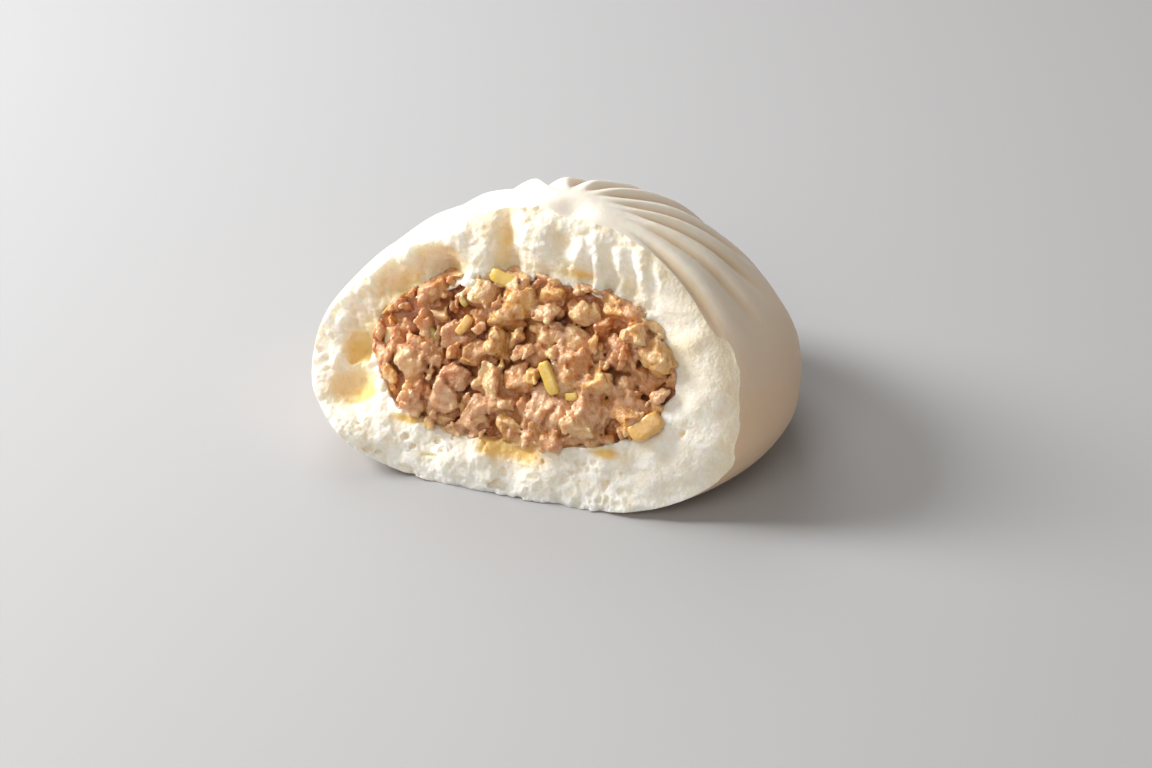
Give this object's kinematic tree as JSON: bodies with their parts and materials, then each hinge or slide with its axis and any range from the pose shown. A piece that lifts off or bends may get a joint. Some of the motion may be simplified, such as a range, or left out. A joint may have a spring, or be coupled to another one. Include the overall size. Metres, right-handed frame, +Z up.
{
  "type": "steamed pork bun",
  "caption": "Round steamed bun with a pleated crown, torn open at the front so that white crumb and a minced pork filling show.",
  "frame": {"origin": "middle of the flat base, on the upright axis that the pleats turn round", "axes": "+Z up along the axis of the pleats; the torn face looks towards -Y and up"},
  "size_m": [0.1008, 0.0827, 0.0526],
  "materials": {
    "steamed_dough": "soft white steamed bread, satin on its skin and dull on its crumb",
    "pork_filling": "moist cooked minced pork with a little juice"
  },
  "bodies": {
    "root": {"bun_dough": "steamed_dough", "pork_filling": "pork_filling"}
  },
  "joints": []
}
